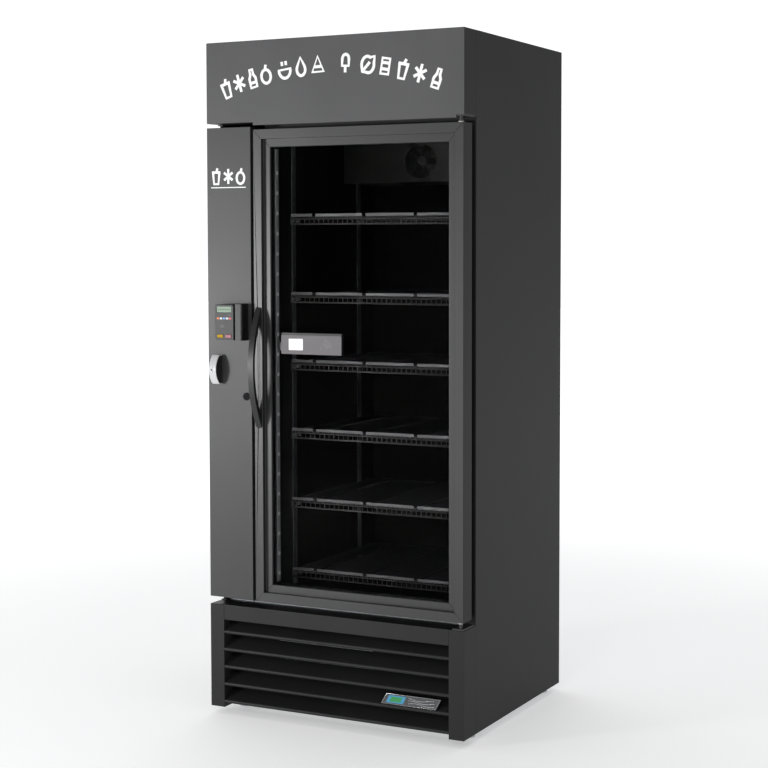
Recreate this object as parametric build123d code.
"""Reach-in refrigerator with a glass door and a payment column, millimetres.

Part frame: +X to the right of the front, +Y to the rear, +Z up. The origin is
under the centre of the bounding box, on the floor. The helpers take x from the
left edge of the front, y as depth behind the door's front plane and z from the
underside of the cabinet, because that is how the cabinet is laid out.
"""
import math
import os

from build123d import *

os.makedirs("parts", exist_ok=True)

# ---- driving dimensions ----------------------------------------------------
WIDTH = 836.0            # cabinet, side to side
DEPTH = 718.0            # door front plane to rear panel
HEIGHT = 1975.0          # cabinet without its feet
FOOT = 22.0              # levelling foot height under the cabinet
HANDLE_REACH = 48.0      # handle bow in front of the door
FRONT_T = 79.0           # header, door and service panel layer
SHEET = 2.0              # powder coated sheet steel
COLUMN_W = 150.0         # payment column panel
COLUMN_GAP = 9.0         # dark gap between column panel and door
FOAM = 44.0              # insulation around the cold box
LINER = 2.0              # inner liner
BASE_H = 311.0           # grille and compressor bay
HEADER_H = 236.0         # header box
DOOR_GAP = 21.0          # gap under the header and over the grille
EDGE = 2.0               # door edge to cabinet side
CLEAR = 0.05             # pin and shaft play on radius
SLACK = 0.5              # play between faces that only pass each other

X_MID = WIDTH / 2
Y_FRONT = -(DEPTH + HANDLE_REACH) / 2 + HANDLE_REACH
HEADER_Z = HEIGHT - HEADER_H
BOX_X0 = COLUMN_W + 4.0
DOOR_X0 = COLUMN_W + COLUMN_GAP
DOOR_X1 = WIDTH - EDGE
DOOR_Z0 = BASE_H + DOOR_GAP
DOOR_Z1 = HEADER_Z - DOOR_GAP

# cold box cavity, inside the liner
CAV_X0 = BOX_X0 + FOAM + LINER
CAV_X1 = WIDTH - SHEET - FOAM
CAV_Y0 = FRONT_T
CAV_Y1 = DEPTH - SHEET - FOAM
CAV_Z0 = BASE_H + SHEET + FOAM - 6.0
CAV_Z1 = HEADER_Z - 38.0
FOAM_TOP = CAV_Z1 + FOAM + LINER

# door frame profile: u from the outer edge inward, depth from the front plane
BAND_OUT = 28.0
BAND_ALL = 52.0
STEP_Y = 13.0
PROFILE_Y = 56.0
WALL = 4.0
GLASS_T = 4.0
GLASS_GAP = 12.0
GLASS_Y = 18.0
GLASS_EDGE = 33.5
GASKET_W = 16.0

PIVOT_X = DOOR_X1 - 13.0
PIVOT_Y = 12.0
PIVOT_R = 5.0
BUSH_R = 7.5
BUSH_L = 24.0

SHELF_TOPS = (408.0, 620.0, 828.0, 1033.0, 1234.0, 1466.0)
SHELF_X0 = CAV_X0 + 6.0
SHELF_X1 = CAV_X1 - 6.0
SHELF_Y0 = 132.0
SHELF_Y1 = CAV_Y1 - 18.0
WIRE_R = 1.5
RAIL_R = 2.5
WIRE_PITCH = 16.0
WIRE_BEND = 3.0
BAND_H = 24.0
WELD_GAP = 0.05
RAIL_SET = 1.5

PANEL_PIVOT_X = 8.0
PANEL_PIVOT_Y = 66.0
PANEL_BACK = 74.0
PANEL_Z = (DOOR_Z0 + 1.5, DOOR_Z1 + 8.5)


# ---- helpers ---------------------------------------------------------------
def pt(x, y, z):
    """A point of the cabinet layout in the part frame."""
    return Vector(x - X_MID, y + Y_FRONT, z + FOOT)


def block(x0, x1, y0, y1, z0, z1):
    """A straight block between two corners of the cabinet layout."""
    low = pt(x0, y0, z0)
    return Solid.make_box(x1 - x0, y1 - y0, z1 - z0, Plane(origin=low))


def rod(start, end, radius):
    """A round bar between two points of the cabinet layout."""
    a = pt(*start)
    b = pt(*end)
    return Solid.make_cylinder(radius, (b - a).length, Plane(origin=a, z_dir=b - a))


def ring_block(outer, inner):
    """A block with a block-shaped hole or recess taken out of it."""
    return block(*outer) - block(*inner)


def yz_prism(points, x0, x1):
    """A section given as (depth, height) pairs, drawn out along X."""
    wire = Wire.make_polygon([pt(x0, y, z) for y, z in points])
    return Solid.extrude(Face(wire), Vector(x1 - x0, 0, 0))


def xz_prism(points, y0, y1):
    """A section given as (x, height) pairs, drawn out in depth."""
    wire = Wire.make_polygon([pt(x, y0, z) for x, z in points])
    return Solid.extrude(Face(wire), Vector(0, y1 - y0, 0))


def tube(points, bend, radius):
    """A bent round tube through points of the cabinet layout."""
    path = FilletPolyline([pt(*p) for p in points], radius=bend)
    start = Plane(origin=path @ 0, z_dir=path % 0)
    return sweep(start * Circle(radius), path=path).solid()


def group(solids):
    """Alike pieces that share one node, each its own solid."""
    return Compound(children=list(solids))


def one(shape):
    """The single solid of a boolean result."""
    return shape.solids()[0]


NODES = {}


def node(name, shape):
    """Keep a finished piece under its node name."""
    NODES[name] = shape


# ---- cabinet shell ---------------------------------------------------------
def cabinet_shell():
    left = block(0, SHEET, FRONT_T, DEPTH, 0, HEIGHT)
    right = block(WIDTH - SHEET, WIDTH, FRONT_T, DEPTH, 0, HEIGHT)
    inner_x = (SHEET, WIDTH - SHEET)
    top = block(*inner_x, FRONT_T, DEPTH, HEIGHT - SHEET, HEIGHT)
    node("outer_panels", group((left, right, top)))
    rear = block(*inner_x, DEPTH - SHEET, DEPTH, BASE_H, HEIGHT - SHEET)
    node("rear_panels", group((rear, rear_grille())))
    deck = block(*inner_x, FRONT_T, DEPTH - SHEET, BASE_H, BASE_H + SHEET)
    base = block(*inner_x, FRONT_T, DEPTH, 0, BASE_T)
    for x, y in FOOT_SPOTS:
        base = base - rod((x, y, -1), (x, y, BASE_T + 1), FOOT_STEM_R + CLEAR)
    node("base_decks", group((one(base), deck)))


BASE_T = 4.0
FOOT_STEM_R = 6.0
FOOT_PAD_R = 21.0
FOOT_INSET = 45.0
FOOT_SPOTS = tuple(
    (x, y)
    for y in (FRONT_T + FOOT_INSET, DEPTH - FOOT_INSET)
    for x in (FOOT_INSET, WIDTH - FOOT_INSET)
)


def rear_grille():
    """Lower rear sheet with rows of vent slots."""
    z0 = BASE_T
    sheet = block(SHEET, WIDTH - SHEET, DEPTH - SHEET, DEPTH, z0, BASE_H)
    slots = []
    slot_w = 90.0
    slot_h = 9.0
    pitch_x = 118.0
    pitch_z = 24.0
    for row in range(9):
        for col in range(6):
            x = WIDTH / 2 + (col - 2.5) * pitch_x
            z = z0 + 56.0 + row * pitch_z
            slots.append(block(x - slot_w / 2, x + slot_w / 2, DEPTH - 2 * SHEET, DEPTH + 1, z, z + slot_h))
    return one(sheet.cut(*slots))


def bay_partition():
    """Wall of the payment column, and the keeper strip that the lock cam holds."""
    x0 = BOX_X0 - SHEET
    wall = block(x0, BOX_X0, FRONT_T, DEPTH - SHEET, BASE_H + SHEET, HEADER_Z)
    lip = block(LIP_X0, x0, FRONT_T, FRONT_T + SHEET, DOOR_Z0, DOOR_Z1)
    return group((wall, lip))


LIP_X0 = BOX_X0 - 9.5


def cold_box():
    """Foam, liner and jamb frame of the insulated box."""
    foam_z0 = BASE_H + SHEET
    jamb_y1 = FRONT_T + LINER
    liner_out = (CAV_X0 - LINER, CAV_X1 + LINER, jamb_y1, CAV_Y1 + LINER, CAV_Z0 - LINER, CAV_Z1 + LINER)
    cavity = (CAV_X0, CAV_X1, jamb_y1 - 1, CAV_Y1, CAV_Z0, CAV_Z1)
    foam_out = (BOX_X0, WIDTH - SHEET, jamb_y1, DEPTH - SHEET, foam_z0, FOAM_TOP)
    pocket = block(BOX_X0 + 2, BOX_X0 + 2 + LOCK_W, jamb_y1 - 1, LOCK_Y1, LOCK_Z0, LOCK_Z1)
    foam = block(*foam_out) - block(*liner_out[:2], jamb_y1 - 1, *liner_out[3:])
    node("foam_insulation", one(foam - pocket))
    node("inner_liner", ring_block(liner_out, cavity))
    jamb = ring_block((BOX_X0, WIDTH - SHEET, FRONT_T, jamb_y1, foam_z0, FOAM_TOP),
                      (CAV_X0, CAV_X1, FRONT_T - 1, jamb_y1 + 1, CAV_Z0, CAV_Z1))
    mouth = block(*STRIKE_MOUTH_X, FRONT_T - 1, jamb_y1 + 1, *STRIKE_MOUTH_Z)
    node("jamb_frame", one(jamb - mouth))


SKIRT_H = 9.0
SKIRT_X1 = PIVOT_X - 9.0


def header_box():
    """Hollow header cover, open to the rear, with a short skirt over the door."""
    box = ring_block((0, WIDTH, 0, FRONT_T, HEADER_Z, HEIGHT),
                     (SHEET, WIDTH - SHEET, SHEET, FRONT_T + 1, HEADER_Z + SHEET, HEIGHT - SHEET))
    skirt = block(DOOR_X0, SKIRT_X1, 0, SHEET, HEADER_Z - SKIRT_H, HEADER_Z)
    return one(box.fuse(skirt))


# ---- base grille -----------------------------------------------------------
GRILLE_POST_W = 47.0
GRILLE_TOP_H = 45.0
BLADE_PITCH = 52.6
BLADE_LOW_Z = 18.5
BLADE_COUNT = 5
BLADE_T = 3.0
LIP_R = 6.0
BADGE_T = 3.0
BADGE_Y = 1.0


def grille_frame():
    """Two hollow corner posts and the plate across their tops."""
    posts = [grille_top_plate()]
    for x0 in (0.0, WIDTH - GRILLE_POST_W):
        x1 = x0 + GRILLE_POST_W
        posts.append(ring_block((x0, x1, 0, FRONT_T, 0, BASE_H),
                                (x0 + SHEET, x1 - SHEET, SHEET, FRONT_T + 1, SHEET, BASE_H - SHEET)))
    return group(posts)


def grille_top_plate():
    x0 = GRILLE_POST_W
    x1 = WIDTH - GRILLE_POST_W
    z0 = BASE_H - GRILLE_TOP_H
    return ring_block((x0, x1, 0, FRONT_T, z0, BASE_H),
                      (x0 - 1, x1 + 1, SHEET, FRONT_T + 1, z0 + SHEET, BASE_H - SHEET))


def grille_blade(z_lip):
    """One louvre: a rounded front lip and a blade that rises inward."""
    x0 = GRILLE_POST_W
    x1 = WIDTH - GRILLE_POST_W
    run = 46.0
    rise = 27.0
    y_lip = LIP_R
    nose = rod((x0, y_lip, z_lip), (x1, y_lip, z_lip), LIP_R)
    sheet = yz_prism([(y_lip, z_lip + LIP_R - BLADE_T), (y_lip, z_lip + LIP_R),
                      (y_lip + run, z_lip + LIP_R + rise), (y_lip + run, z_lip + LIP_R + rise - BLADE_T)],
                     x0, x1)
    return one(nose.fuse(sheet))


def grille_blades():
    return group(grille_blade(BLADE_LOW_Z + i * BLADE_PITCH) for i in range(BLADE_COUNT))


def badge():
    """Slanted sign plate between two louvres, on two small stays."""
    lip_z = BLADE_LOW_Z + BLADE_PITCH
    z0 = lip_z + LIP_R + SLACK
    z1 = z0 + 31.0
    slant = 17.0
    x0, x1 = 575.0, 765.0
    outline = [(x0, z0), (x1 - slant, z0), (x1, z1), (x0 + slant, z1)]
    plate = xz_prism(outline, BADGE_Y, BADGE_Y + BADGE_T)
    stay_y0 = BADGE_Y + BADGE_T
    stays = [block(x, x + 10, stay_y0, LIP_R, z0, z0 + 4) for x in (610.0, 720.0)]
    node("badge_plate", one(plate.fuse(*stays)))


# ---- door ------------------------------------------------------------------
def frame_bar(length):
    """Door profile drawn along +Z from 0 to length, outer edge at x = 0."""
    back_leg = BAND_ALL - 2.0
    rebate_x = 32.0
    rebate_y0 = GLASS_Y - SLACK
    rebate_y1 = GLASS_Y + 2 * GLASS_T + GLASS_GAP + SLACK
    outline = [(0, 0), (BAND_OUT, 0), (BAND_OUT, STEP_Y), (BAND_ALL - 2, STEP_Y), (BAND_ALL, STEP_Y + 2),
               (BAND_ALL, rebate_y0), (rebate_x, rebate_y0), (rebate_x, rebate_y1),
               (back_leg, rebate_y1), (back_leg, PROFILE_Y), (0, PROFILE_Y)]
    face = Face(Wire.make_polygon([Vector(x, y, 0) for x, y in outline]))
    bar = Solid.extrude(face, Vector(0, 0, length))
    chamber = Solid.make_box(BAND_OUT - 2 * WALL, PROFILE_Y - 2 * WALL, length + 2,
                             Plane(origin=(WALL, WALL, -1)))
    return bar - chamber


def mitre(bar, length):
    """Cut both ends of a bar at 45 degrees toward its inner edge."""
    far = BAND_ALL + 1.0
    for base, sign in ((0.0, 1), (length, -1)):
        corners = [(-1, base - sign), (far, base - sign), (far, base + sign * far), (-1, base - sign)]
        wedge = Face(Wire.make_polygon([Vector(x, -1, z) for x, z in corners[:3]]))
        bar = bar - Solid.extrude(wedge, Vector(0, PROFILE_Y + 2, 0))
    return one(bar)


def place(shape, x, y, z, turn=0, flip=False):
    """Turn a bar in the door plane, mirror it if asked, and set it down."""
    if flip:
        shape = shape.mirror(Plane.YZ)
    shape = shape.rotate(Axis.Y, turn)
    return shape.translate(pt(x, y, z))


def door_frame():
    """Four mitred bars with their corner keys and drillings."""
    tall = DOOR_Z1 - DOOR_Z0
    wide = DOOR_X1 - DOOR_X0
    stile = mitre(frame_bar(tall), tall)
    rail = mitre(frame_bar(wide), wide)
    latch = place(stile, DOOR_X0, 0, DOOR_Z0)
    hinge = place(stile, DOOR_X1, 0, DOOR_Z0, flip=True)
    low = place(rail, DOOR_X0, 0, DOOR_Z0, turn=90, flip=True)
    top = place(rail, DOOR_X0, 0, DOOR_Z1, turn=90)
    for z in HANDLE_SCREW_Z:
        latch = latch - rod((HANDLE_X, -1, z), (HANDLE_X, WALL + 1, z), SCREW_R)
    bush_holes = [rod((PIVOT_X, PIVOT_Y, DOOR_Z0 - 1), (PIVOT_X, PIVOT_Y, DOOR_Z0 + BUSH_L), BUSH_R),
                  rod((PIVOT_X, PIVOT_Y, DOOR_Z1 - BUSH_L), (PIVOT_X, PIVOT_Y, DOOR_Z1 + 1), BUSH_R)]
    node("door_stiles", group((one(latch), one(hinge.cut(*bush_holes)))))
    node("door_rails", group((one(low.cut(*bush_holes)), one(top.cut(*bush_holes)))))
    node("corner_keys", corner_keys(bush_holes))


def corner_keys(bush_holes):
    """Angle pieces inside the hollow bars that tie the mitres together."""
    leg = 70.0
    play = 0.1
    a = WALL + play
    b = BAND_OUT - WALL - play
    y0 = WALL + play
    y1 = PROFILE_Y - WALL - play
    keys = []
    for x_edge, sx in ((DOOR_X0, 1), (DOOR_X1, -1)):
        for z_edge, sz in ((DOOR_Z0, 1), (DOOR_Z1, -1)):
            xs = sorted((x_edge + sx * a, x_edge + sx * leg))
            zs = sorted((z_edge + sz * a, z_edge + sz * b))
            flat = block(*xs, y0, y1, *zs)
            xs = sorted((x_edge + sx * a, x_edge + sx * b))
            zs = sorted((z_edge + sz * a, z_edge + sz * leg))
            key = flat.fuse(block(*xs, y0, y1, *zs))
            keys.append(one(one(key).cut(*bush_holes)))
    return group(keys)


HANDLE_X = DOOR_X0 + 16.0
HANDLE_W = 18.0
HANDLE_Z0 = 847.0
HANDLE_Z1 = 1201.0
HANDLE_T = 10.0
HANDLE_PAD = 30.0
SCREW_R = 2.5
SCREW_IN = 9.0
HANDLE_SCREW_Z = (HANDLE_Z0 + SCREW_IN, HANDLE_Z1 - SCREW_IN)


def handle():
    """Bowed strip whose flat ends are screwed to the latch stile."""
    x0 = HANDLE_X - HANDLE_W / 2
    mid = (HANDLE_Z0 + HANDLE_Z1) / 2
    pad = HANDLE_PAD
    z0, z1 = HANDLE_Z0, HANDLE_Z1
    outer = ThreePointArc(pt(x0, 0, z0), pt(x0, -HANDLE_REACH, mid), pt(x0, 0, z1))
    inner = ThreePointArc(pt(x0, 0, z1 - pad), pt(x0, HANDLE_T - HANDLE_REACH, mid), pt(x0, 0, z0 + pad))
    ends = [Line(outer @ 1, inner @ 0), Line(inner @ 1, outer @ 0)]
    face = Face(Wire([outer, ends[0], inner, ends[1]]))
    bow = Solid.extrude(face, Vector(HANDLE_W, 0, 0))
    for z in HANDLE_SCREW_Z:
        bow = bow - rod((HANDLE_X, -3.0, z), (HANDLE_X, 1, z), SCREW_R)
    return one(bow)


def handle_screws():
    """Two screws from inside the stile into the handle ends."""
    screws = []
    for z in HANDLE_SCREW_Z:
        shank = rod((HANDLE_X, -2.5, z), (HANDLE_X, WALL + 1, z), SCREW_R - CLEAR)
        head = rod((HANDLE_X, WALL + CLEAR, z), (HANDLE_X, WALL + 3, z), 2 * SCREW_R)
        screws.append(one(shank.fuse(head)))
    return group(screws)


def door_glass():
    """Two panes with the spacer bar between their edges."""
    x = (DOOR_X0 + GLASS_EDGE, DOOR_X1 - GLASS_EDGE)
    z = (DOOR_Z0 + GLASS_EDGE, DOOR_Z1 - GLASS_EDGE)
    gap_y0 = GLASS_Y + GLASS_T
    gap_y1 = gap_y0 + GLASS_GAP
    bar = 12.0
    panes = [block(*x, y, y + GLASS_T, *z) for y in (GLASS_Y, gap_y1)]
    node("glass_panes", group(panes))
    node("glass_spacer", ring_block((*x, gap_y0, gap_y1, *z),
                                    (x[0] + bar, x[1] - bar, gap_y0 - 1, gap_y1 + 1, z[0] + bar, z[1] - bar)))


def door_gasket():
    """Magnetic gasket on the back of the door, against the jamb."""
    inset = 16.0
    x0, x1 = DOOR_X0 + inset, DOOR_X1 - inset
    z0, z1 = DOOR_Z0 + inset, DOOR_Z1 - inset
    y0, y1 = PROFILE_Y, FRONT_T - SLACK
    return ring_block((x0, x1, y0, y1, z0, z1),
                      (x0 + GASKET_W, x1 - GASKET_W, y0 - 1, y1 + 1, z0 + GASKET_W, z1 - GASKET_W))


LED_T = 3.0


def led_strip():
    """Light strip on the inner side of the latch stile, behind the glass."""
    x0 = DOOR_X0 + BAND_ALL - 2.0
    end = BAND_ALL + 4.0
    y0 = GLASS_Y + 2 * GLASS_T + GLASS_GAP + 3.0
    return block(x0, x0 + LED_T, y0, PROFILE_Y - 1, DOOR_Z0 + end, DOOR_Z1 - end)


def door_hinges():
    """Pivot arms with their pins, and the door bushes that turn on them."""
    reach = BUSH_L - 4.0
    arms = (PIVOT_X - 22, WIDTH - SHEET - 1, SHEET, FRONT_T)
    low_z = BASE_H
    top_z = HEADER_Z
    plate = 4.0
    ends = ((low_z, low_z + plate, DOOR_Z0 + reach), (top_z, top_z - plate, DOOR_Z1 - reach))
    pivots = []
    for z_root, z_face, z_tip in ends:
        arm = block(*arms, min(z_root, z_face), max(z_root, z_face))
        pin = rod((PIVOT_X, PIVOT_Y, z_root), (PIVOT_X, PIVOT_Y, z_tip), PIVOT_R)
        pivots.append(one(arm.fuse(pin)))
    bushes = []
    for z0, z1 in ((DOOR_Z0 - 3, DOOR_Z0 + BUSH_L), (DOOR_Z1 - BUSH_L, DOOR_Z1 + 3)):
        outer = rod((PIVOT_X, PIVOT_Y, z0), (PIVOT_X, PIVOT_Y, z1), BUSH_R)
        bore = rod((PIVOT_X, PIVOT_Y, z0 - 1), (PIVOT_X, PIVOT_Y, z1 + 1), PIVOT_R + CLEAR)
        bushes.append(one(outer - bore))
    node("hinge_bushes", group(bushes))
    node("pivot_arms", group(pivots + panel_pivots()))


# electric lock in the jamb and the staple on the door that it holds
LOCK_W = 40.0
LOCK_Y1 = 141.0
LOCK_Z0 = 980.0
LOCK_Z1 = 1050.0
STRIKE_X = (DOOR_X0 + 6.0, DOOR_X0 + 10.0)
STRIKE_Y1 = 99.0
STRIKE_Z = (1000.0, 1030.0)
STRIKE_MOUTH_X = (DOOR_X0 - 0.5, DOOR_X0 + 12.5)
STRIKE_MOUTH_Z = (995.0, 1035.0)
BOLT_R = 4.5
BOLT_Y = 89.0
BOLT_TRAVEL = 12.0
BOLT_TIP_X = STRIKE_MOUTH_X[1] + 1.0
BOLT_L = 16.0
EYE_PLAY = 1.5


def door_lock():
    z = (STRIKE_Z[0] + STRIKE_Z[1]) / 2
    x0 = BOX_X0 + 2
    y0 = FRONT_T + LINER
    body = block(x0, x0 + LOCK_W, y0, LOCK_Y1, LOCK_Z0, LOCK_Z1)
    body = body - block(*STRIKE_MOUTH_X, y0 - 1, STRIKE_Y1 + 6, *STRIKE_MOUTH_Z)
    end_x = BOLT_TIP_X + BOLT_L
    body = body - rod((STRIKE_MOUTH_X[0] + 2, BOLT_Y, z), (end_x + 2, BOLT_Y, z), BOLT_R + CLEAR)
    node("door_lock_body", one(body))
    node("door_lock_bolt", rod((BOLT_TIP_X, BOLT_Y, z), (end_x, BOLT_Y, z), BOLT_R))
    strike = block(*STRIKE_X, PROFILE_Y, STRIKE_Y1, *STRIKE_Z)
    half = BOLT_R + EYE_PLAY
    eye = block(STRIKE_X[0] - 1, STRIKE_X[1] + 1, BOLT_Y - half, BOLT_Y + half, z - half, z + half)
    node("door_strike", one(strike - eye))


# ---- payment bar on the glass ----------------------------------------------
BAR_X0 = 249.0
BAR_W = 200.0
BAR_Z0 = 1067.0
BAR_Z1 = 1123.0
BAR_Y0 = 3.0
BAR_FACE_Y = 5.5


def payment_bar():
    x1 = BAR_X0 + BAR_W
    body = block(BAR_X0, x1, BAR_FACE_Y, GLASS_Y, BAR_Z0, BAR_Z1 + 6)
    tab = block(BAR_X0 - 8, BAR_X0, 9, GLASS_Y, BAR_Z0 + 9, BAR_Z1 - 23)
    node("pay_bar_body", one(body.fuse(tab)))
    face = block(BAR_X0, x1, BAR_Y0, BAR_FACE_Y, BAR_Z0, BAR_Z1)
    face = fillet(face.edges().filter_by(Axis.Y), 4.0)
    face = chamfer(face.faces().sort_by(Axis.Y)[0].edges(), 0.8)
    node("pay_bar_face", one(face))


# ---- payment column --------------------------------------------------------
READER_X = (COLUMN_W - 104.0, COLUMN_W - 11.0)
READER_Z = (1106.0, 1209.0)
READER_OUT = 35.0
READER_FACE_X1 = COLUMN_W - 40.0
READER_R = 7.0
DISPLAY = (COLUMN_W - 97.0, COLUMN_W - 48.0, 1186.0, 1203.0)
SLOT_X = (COLUMN_W - 38.0, COLUMN_W - 34.0)
SLOT_DEEP = 22.0
KEY_T = 6.0
KEY_TRAVEL = 2.0
KEY_SIZE = (20.0, 8.5)
KEY_Z = 1112.0
KEY_X = (COLUMN_W - 95.5, COLUMN_W - 67.0)
KEY_PLAY = 0.3
FACE_T = 4.0
LOCK_X = COLUMN_W - 18.0
LOCK_Z = 938.0
LOCK_R = 9.0
PLUG_R = 6.0
LOCK_DEEP = FRONT_T + SHEET + 2.5
CAM_T = 3.0
CAM_L = 18.0
POD_X = (24.0, 48.0)
POD_Z = (973.0, 1059.0)
POD_BOW = 36.0
POD_END = 16.0
POD_LENS = 9.5
POD_SHELL = 2.5


def service_panel():
    """Folded door of the payment column, open to the rear."""
    z0, z1 = PANEL_Z
    panel = ring_block((0, COLUMN_W, 0, PANEL_BACK, z0, z1),
                       (SHEET, COLUMN_W - SHEET, SHEET, PANEL_BACK + 1, z0 + SHEET, z1 - SHEET))
    cuts = [rod((LOCK_X, -1, LOCK_Z), (LOCK_X, SHEET + 1, LOCK_Z), LOCK_R),
            rod((PANEL_PIVOT_X, PANEL_PIVOT_Y, z0 - 1),
                (PANEL_PIVOT_X, PANEL_PIVOT_Y, z1 + 1), PANEL_PIN_R + CLEAR)]
    node("service_panel", one(panel.cut(*cuts)))


def panel_pivots():
    """Two small arms whose pins carry the service panel."""
    pivots = []
    z0, z1 = PANEL_Z
    for z_root, z_tip in ((BASE_H, z0 + 12), (HEADER_Z, z1 - 12)):
        foot = z_root + math.copysign(3.0, z_tip - z_root)
        low, high = sorted((z_root, foot))
        leaf = block(SHEET, SHEET + 16, PANEL_PIVOT_Y - 8, FRONT_T, low, high)
        pin = rod((PANEL_PIVOT_X, PANEL_PIVOT_Y, z_root), (PANEL_PIVOT_X, PANEL_PIVOT_Y, z_tip), PANEL_PIN_R)
        pivots.append(one(leaf.fuse(pin)))
    return pivots


PANEL_PIN_R = 3.0


def reader():
    """Card and keypad reader: case, face, display, swipe rail and two keys."""
    x0, x1 = READER_X
    z0, z1 = READER_Z
    case = block(x0, READER_FACE_X1, FACE_T - READER_OUT, 0, z0, z1)
    case = fillet(case.edges().filter_by(Axis.Y), READER_R)
    face = block(x0, READER_FACE_X1, -READER_OUT, FACE_T - READER_OUT, z0, z1)
    face = fillet(face.edges().filter_by(Axis.Y), READER_R)
    dx0, dx1, dz0, dz1 = DISPLAY
    display = block(dx0, dx1, -READER_OUT + 0.6, FACE_T - READER_OUT, dz0, dz1)
    face = face - block(dx0, dx1, -READER_OUT - 1, FACE_T - READER_OUT + 1, dz0, dz1)
    wells = []
    for x in KEY_X:
        w, h = KEY_SIZE
        grown = (x - KEY_PLAY, x + w + KEY_PLAY)
        rise = (KEY_Z - KEY_PLAY, KEY_Z + h + KEY_PLAY)
        wells.append(block(*grown, -READER_OUT - 1, KEY_T + KEY_TRAVEL - READER_OUT + 1, *rise))
    node("reader_case", one(one(case).cut(*wells)))
    node("reader_face", one(one(face).cut(*wells)))
    node("reader_display", display)
    for name, x in zip(("yellow_key", "red_key"), KEY_X):
        w, h = KEY_SIZE
        key = block(x, x + w, -READER_OUT - 1.5, KEY_T - READER_OUT, KEY_Z, KEY_Z + h)
        node(name, one(fillet(key.edges().filter_by(Axis.Y), 1.5)))
    rail = block(READER_FACE_X1, x1, -READER_OUT, 0, z0 - 2, z1 + 2)
    rail = fillet(rail.edges().filter_by(Axis.Z).group_by(Axis.Y)[0], 5.0)
    slot = block(*SLOT_X, -READER_OUT - 1, SLOT_DEEP - READER_OUT, z0 - 3, z1 + 3)
    node("swipe_rail", one(one(rail) - slot))


def pod_bow(inset, x0, x1):
    """The pod's side section, deepest at mid height, drawn out along X."""
    z0, z1 = POD_Z[0] + inset, POD_Z[1] - inset
    low, high = pt(x0, inset - POD_END, z0), pt(x0, inset - POD_END, z1)
    foot, head = pt(x0, 0, z0), pt(x0, 0, z1)
    curve = ThreePointArc(low, pt(x0, inset - POD_BOW, (z0 + z1) / 2), high)
    outline = Wire([Line(foot, low), curve, Line(high, head), Line(head, foot)])
    return Solid.extrude(Face(outline), Vector(x1 - x0, 0, 0))


def pod():
    """Sensor pod: dark core and pale bowed front cover, with a lens seat."""
    x0, x1 = POD_X
    mid = sum(POD_Z) / 2
    core = pod_bow(POD_SHELL, x0, x1)
    cover = pod_bow(0, x0, x1) - core
    lens_x = x0 + POD_LENS
    seat = rod((lens_x, -POD_BOW - 2, mid), (lens_x, POD_SHELL + 1 - POD_BOW, mid), 3.0)
    node("pod_cover", one(one(cover) - seat))
    node("pod_body", core)


def panel_lock():
    """Cam lock of the service panel: barrel, then plug and cam in one turn."""
    at = (LOCK_X, LOCK_Z)
    barrel = rod((at[0], -2.5, at[1]), (at[0], LOCK_DEEP, at[1]), LOCK_R)
    flange = rod((at[0], -2.5, at[1]), (at[0], 0, at[1]), LOCK_R + 2.5)
    bore = rod((at[0], -4, at[1]), (at[0], LOCK_DEEP + 1, at[1]), PLUG_R + CLEAR)
    node("lock_barrel", one(one(barrel.fuse(flange)) - bore))
    plug = rod((at[0], -3.2, at[1]), (at[0], LOCK_DEEP + SLACK, at[1]), PLUG_R)
    keyway = block(at[0] - 0.8, at[0] + 0.8, -4, 8, at[1] - 4, at[1] + 4)
    cam_y = LOCK_DEEP + SLACK
    cam = block(at[0] - 6, at[0] + 6, cam_y, cam_y + CAM_T, at[1] - 6, at[1] + CAM_L)
    node("key_plug", one(one(plug - keyway).fuse(cam)))


def controller_box():
    """Payment controller on the column wall, behind the service panel."""
    return block(SHEET + 60, BOX_X0 - SHEET, 180, 420, 1180, 1420)


# ---- cold box fittings -----------------------------------------------------
PILASTER_W = 20.0
PILASTER_T = 3.0
PILASTER_Y = (CAV_Y0 + 71.0, CAV_Y1 - 112.0)


def pilasters():
    strips = []
    for x0 in (CAV_X0, CAV_X1 - PILASTER_T):
        for y in PILASTER_Y:
            strips.append(block(x0, x0 + PILASTER_T, y, y + PILASTER_W, CAV_Z0 + 10, CAV_Z1 - 10))
    return group(strips)


def shelf_clips():
    """Light clips that hook on the pilasters and carry the shelf rails."""
    clips = []
    for top in SHELF_TOPS:
        z1 = top - 2 * (WIRE_R + RAIL_R) - WELD_GAP
        for side in (0, 1):
            x0 = CAV_X0 + PILASTER_T if side == 0 else CAV_X1 - PILASTER_T - CLIP_REACH
            for y in PILASTER_Y:
                clips.append(block(x0, x0 + CLIP_REACH, y + 3, y + PILASTER_W - 3, z1 - 10, z1))
    return group(clips)


CLIP_REACH = 16.0


def wire_shelf(top):
    """Welded wire shelf: cross bars, and deck wires bent down at the front."""
    x0, x1 = SHELF_X0, SHELF_X1
    z_wire = top - WIRE_R
    z_rail = top - 2 * WIRE_R - RAIL_R - WELD_GAP
    rails_y = (SHELF_Y0 + 2 * WIRE_R + RAIL_R + WELD_GAP + RAIL_SET, PILASTER_Y[0] + 14, PILASTER_Y[1] + 6, SHELF_Y1 - 6)
    bars = [rod((x0, y, z_rail), (x1, y, z_rail), RAIL_R) for y in rails_y]
    z_low = top - BAND_H
    bars.append(rod((x0, rails_y[0], z_low + RAIL_R), (x1, rails_y[0], z_low + RAIL_R), RAIL_R))
    count = int((x1 - x0) // WIRE_PITCH) + 1
    first = (x0 + x1) / 2 - (count - 1) * WIRE_PITCH / 2
    for i in range(count):
        x = first + i * WIRE_PITCH
        y_tooth = SHELF_Y0 + WIRE_R
        bars.append(tube([(x, SHELF_Y1, z_wire), (x, y_tooth, z_wire), (x, y_tooth, z_low)], WIRE_BEND, WIRE_R))
    return group(bars)


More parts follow.
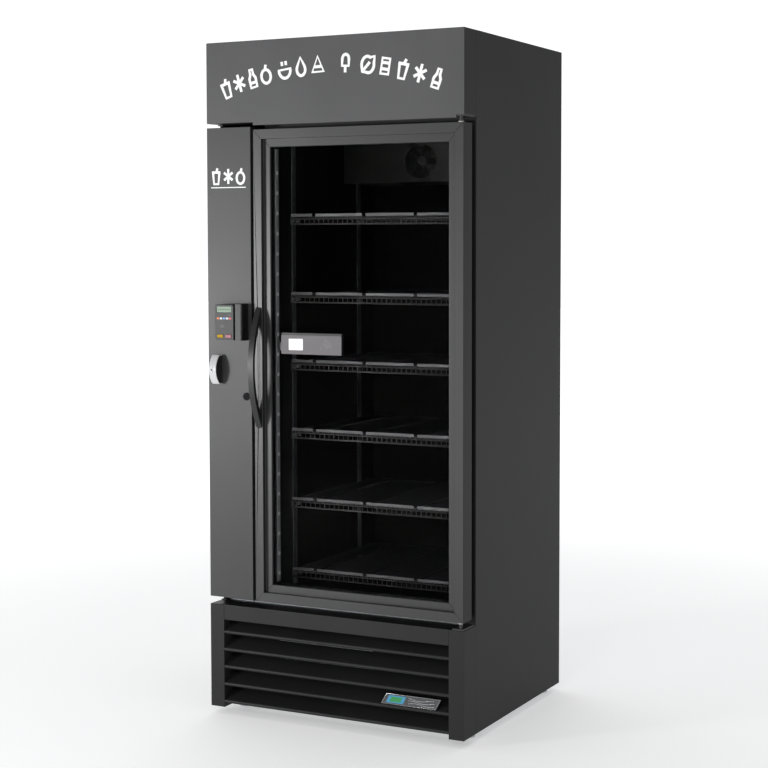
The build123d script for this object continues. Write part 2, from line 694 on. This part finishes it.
LANE_GAP = 12.0
LANE_FIRST = 72.0
LANE_T = 1.5
LANE_LIP = 5.0


def lane_trays():
    """Product lanes on each shelf: a sheet with a small front lip."""
    trays = []
    left, right = SHELF_X0 + 2, SHELF_X1 - 2
    wide = (right - left - LANE_FIRST - 3 * LANE_GAP) / 3
    for top in SHELF_TOPS:
        x = left
        for width in (LANE_FIRST, wide, wide, wide):
            y0 = SHELF_Y0 + 1
            sheet = block(x, x + width, y0, SHELF_Y1 - 8, top, top + LANE_T)
            lip = block(x, x + width, y0, y0 + LANE_T, top, top + LANE_LIP)
            trays.append(one(sheet.fuse(lip)))
            x += width + LANE_GAP
    return group(trays)


FAN_BLADES = 5


def axial_fan(cx, cy, cz, radius, hub_r, length):
    """Fan wheel on a shaft along Y, with pitched blades."""
    hub = rod((cx, cy, cz), (cx, cy + length, cz), hub_r)
    wheel = hub
    blade_w = length * 0.7
    for i in range(FAN_BLADES):
        start = pt(cx, cy + length / 2, cz)
        span = radius - hub_r + 3.0
        plate = Solid.make_box(span, 2.0, blade_w * 1.6, Plane(origin=(hub_r - 3.0, -1.0, -blade_w * 0.8)))
        plate = plate.rotate(Axis.X, 50)
        plate = plate.rotate(Axis.Y, i * 360 / FAN_BLADES)
        wheel = wheel.fuse(plate.translate(start))
    return one(wheel)


EVAP = (CAV_X0 + 30, CAV_X1 - 30, CAV_Y1 - 250, CAV_Y1 - 6, CAV_Z1 - 128, CAV_Z1)


def evaporator():
    """Coil under a cover at the top of the cold box, with its fan."""
    x0, x1, y0, y1, z0, z1 = EVAP
    cx = (x0 + x1) / 2
    cz = (z0 + z1) / 2
    fan_r = 50.0
    cover = ring_block((x0, x1, y0, y1, z0, z1), (x0 + 2, x1 - 2, y0 + 2, y1 + 1, z0 + 2, z1 + 1))
    cover = cover - rod((cx, y0 - 1, cz), (cx, y0 + 4, cz), fan_r + 4)
    node("evaporator_cover", one(cover))
    coil = block(x0 + 30, x1 - 30, y0 + 110, y1 - 20, z0 + 12, z1)
    motor = rod((cx, y0 + 50, cz), (cx, y0 + 90, cz), 22.0)
    stay = block(cx - 8, cx + 8, y0 + 60, y0 + 110, cz, z1)
    shaft = rod((cx, y0 + 44, cz), (cx, y0 + 60, cz), SHAFT_R + CLEAR)
    node("evaporator_unit", one(one(motor.fuse(stay, coil)) - shaft))
    wheel = axial_fan(cx, y0 + 12, cz, fan_r, 14.0, 24.0)
    spindle = rod((cx, y0 + 30, cz), (cx, y0 + 58, cz), SHAFT_R)
    node("evaporator_fan", one(wheel.fuse(spindle)))


SHAFT_R = 4.0
COMP_R = 82.0
COMP_X = WIDTH - 196.0
COMP_Y = DEPTH - 158.0


def machine_bay():
    """Compressor, condenser with its fan, refrigerant line and mains inlet."""
    mx, my = COMP_X, COMP_Y
    comp = rod((mx, my, BASE_T + 14), (mx, my, BASE_T + 150), COMP_R)
    dome = Solid.make_sphere(COMP_R, Plane(origin=pt(mx, my, BASE_T + 150)), 0, 90, 360)
    foot = block(mx - 100, mx + 100, my - 60, my + 60, BASE_T, BASE_T + 14)
    node("compressor", one(comp.fuse(dome, foot)))
    x0, x1 = 150.0, 470.0
    coil = block(x0, x1, 150, 200, BASE_T, BASE_T + 250)
    cx = (x0 + x1) / 2
    cz = BASE_T + 125
    shroud = block(x0, x1, 200, 262, BASE_T, BASE_T + 250)
    shroud = shroud - rod((cx, 199, cz), (cx, 263, cz), 108.0)
    motor = rod((cx, 262, cz), (cx, 320, cz), 36.0)
    leg = block(cx - 20, cx + 20, 266, 310, BASE_T, cz)
    shaft = rod((cx, 255, cz), (cx, 285, cz), SHAFT_R + CLEAR)
    stand = one(one(motor.fuse(leg)) - shaft)
    node("condenser_unit", group((coil, one(shroud), stand)))
    wheel = axial_fan(cx, 212, cz, 100.0, 22.0, 34.0)
    node("condenser_fan", one(wheel.fuse(rod((cx, 240, cz), (cx, 283, cz), SHAFT_R))))
    high = BASE_T + 270
    back = my + 60
    line = tube([(mx, back, BASE_T + 224), (mx, back, high), (mx - 140, back, high), (mx - 140, 175, high),
                 (400, 175, high), (400, 175, BASE_T + 250.5)], 14.0, 5.0)
    node("refrigerant_line", line)
    node("power_inlet", block(60, 120, DEPTH - SHEET - 40, DEPTH - SHEET, BASE_T, BASE_T + 40))


def levelling_feet():
    """Four screw feet through the base plate."""
    for label, (x, y) in zip(("front_left", "front_right", "rear_left", "rear_right"), FOOT_SPOTS):
        pad = rod((x, y, -FOOT), (x, y, -FOOT + 9), FOOT_PAD_R)
        collar = rod((x, y, -FOOT + 9), (x, y, -SLACK), FOOT_STEM_R + 4)
        stem = rod((x, y, -SLACK), (x, y, BASE_T + 30), FOOT_STEM_R)
        node("foot_" + label, one(pad.fuse(collar, stem)))


# ---- build -----------------------------------------------------------------
cabinet_shell()
node("bay_partition", bay_partition())
cold_box()
node("header_box", header_box())
node("grille_frame", grille_frame())
node("grille_blades", grille_blades())
badge()
door_frame()
node("door_handle", handle())
node("handle_screws", handle_screws())
door_glass()
node("door_gasket", door_gasket())
node("led_strip", led_strip())
door_hinges()
door_lock()
payment_bar()
service_panel()
reader()
pod()
panel_lock()
node("controller_box", controller_box())
node("pilasters", pilasters())
node("shelf_clips", shelf_clips())
for number, top in enumerate(SHELF_TOPS, start=1):
    node(f"wire_shelf_{number}", wire_shelf(top))
node("lane_trays", lane_trays())
evaporator()
machine_bay()
levelling_feet()

for name, shape in NODES.items():
    export_step(shape, f"parts/{name}.step")
    print(name, len(shape.solids()), round(shape.volume))
print(len(NODES), "nodes")
